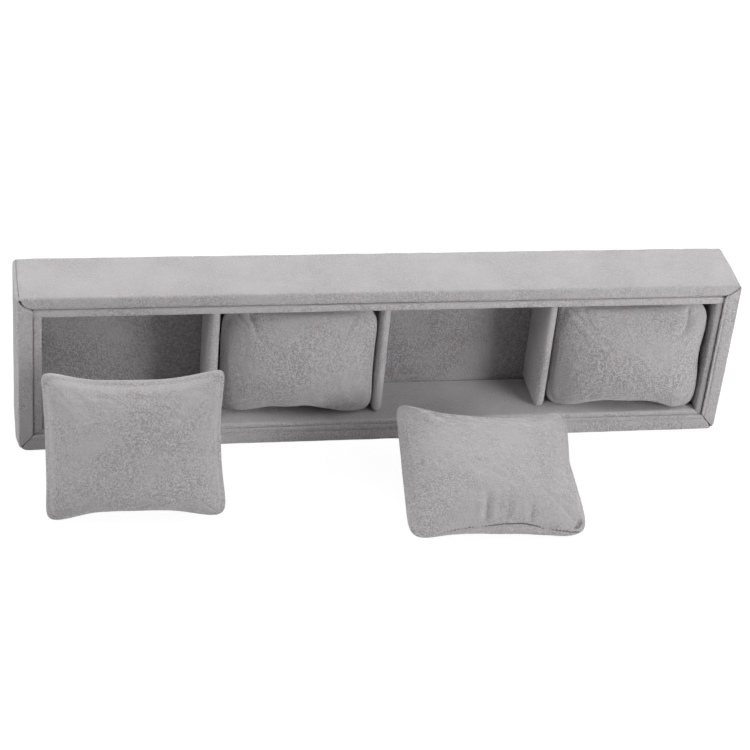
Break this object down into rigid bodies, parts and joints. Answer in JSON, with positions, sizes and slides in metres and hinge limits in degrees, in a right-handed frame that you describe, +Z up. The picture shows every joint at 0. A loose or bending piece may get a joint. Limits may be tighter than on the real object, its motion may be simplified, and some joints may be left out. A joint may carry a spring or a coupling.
{
  "type": "watch storage box",
  "caption": "Open velvet-covered tray box on its long side, with dividers making a row of compartments and loose watch pillows in and in front of them.",
  "frame": {"origin": "middle of the underside of the box, on the surface it stands on", "axes": "+X along the box's length, -Y out of the open front, +Z up"},
  "size_m": [0.352, 0.1305, 0.0861],
  "materials": {
    "wall_velvet": "grey short-pile velvet over thin padding",
    "liner_velvet": "grey short-pile velvet",
    "divider_velvet": "grey short-pile velvet",
    "pillow_velvet": "soft grey short-pile velvet",
    "back_velvet": "grey short-pile velvet",
    "fibreboard": "raw fibreboard, hidden inside the covers",
    "grey_card": "grey card, hidden inside the covers"
  },
  "bodies": {
    "root": {"top_wall_board": "fibreboard", "top_wall_cover": "wall_velvet", "top_liner_card": "grey_card", "top_liner_cover": "liner_velvet", "bottom_wall_board": "fibreboard", "bottom_wall_cover": "wall_velvet", "bottom_liner_card": "grey_card", "bottom_liner_cover": "liner_velvet", "left_wall_board": "fibreboard", "left_wall_cover": "wall_velvet", "left_liner_card": "grey_card", "left_liner_cover": "liner_velvet", "right_wall_board": "fibreboard", "right_wall_cover": "wall_velvet", "right_liner_card": "grey_card", "right_liner_cover": "liner_velvet", "divider_1_cover": "divider_velvet", "divider_1_card": "grey_card", "divider_2_cover": "divider_velvet", "divider_2_card": "grey_card", "divider_3_cover": "divider_velvet", "divider_3_card": "grey_card", "back_lining_panel": "liner_velvet", "back_board": "fibreboard", "back_cloth": "back_velvet", "pillow_in_compartment_2": "pillow_velvet", "pillow_in_compartment_4": "pillow_velvet", "pillow_front_left": "pillow_velvet", "pillow_front_right": "pillow_velvet"}
  },
  "joints": []
}
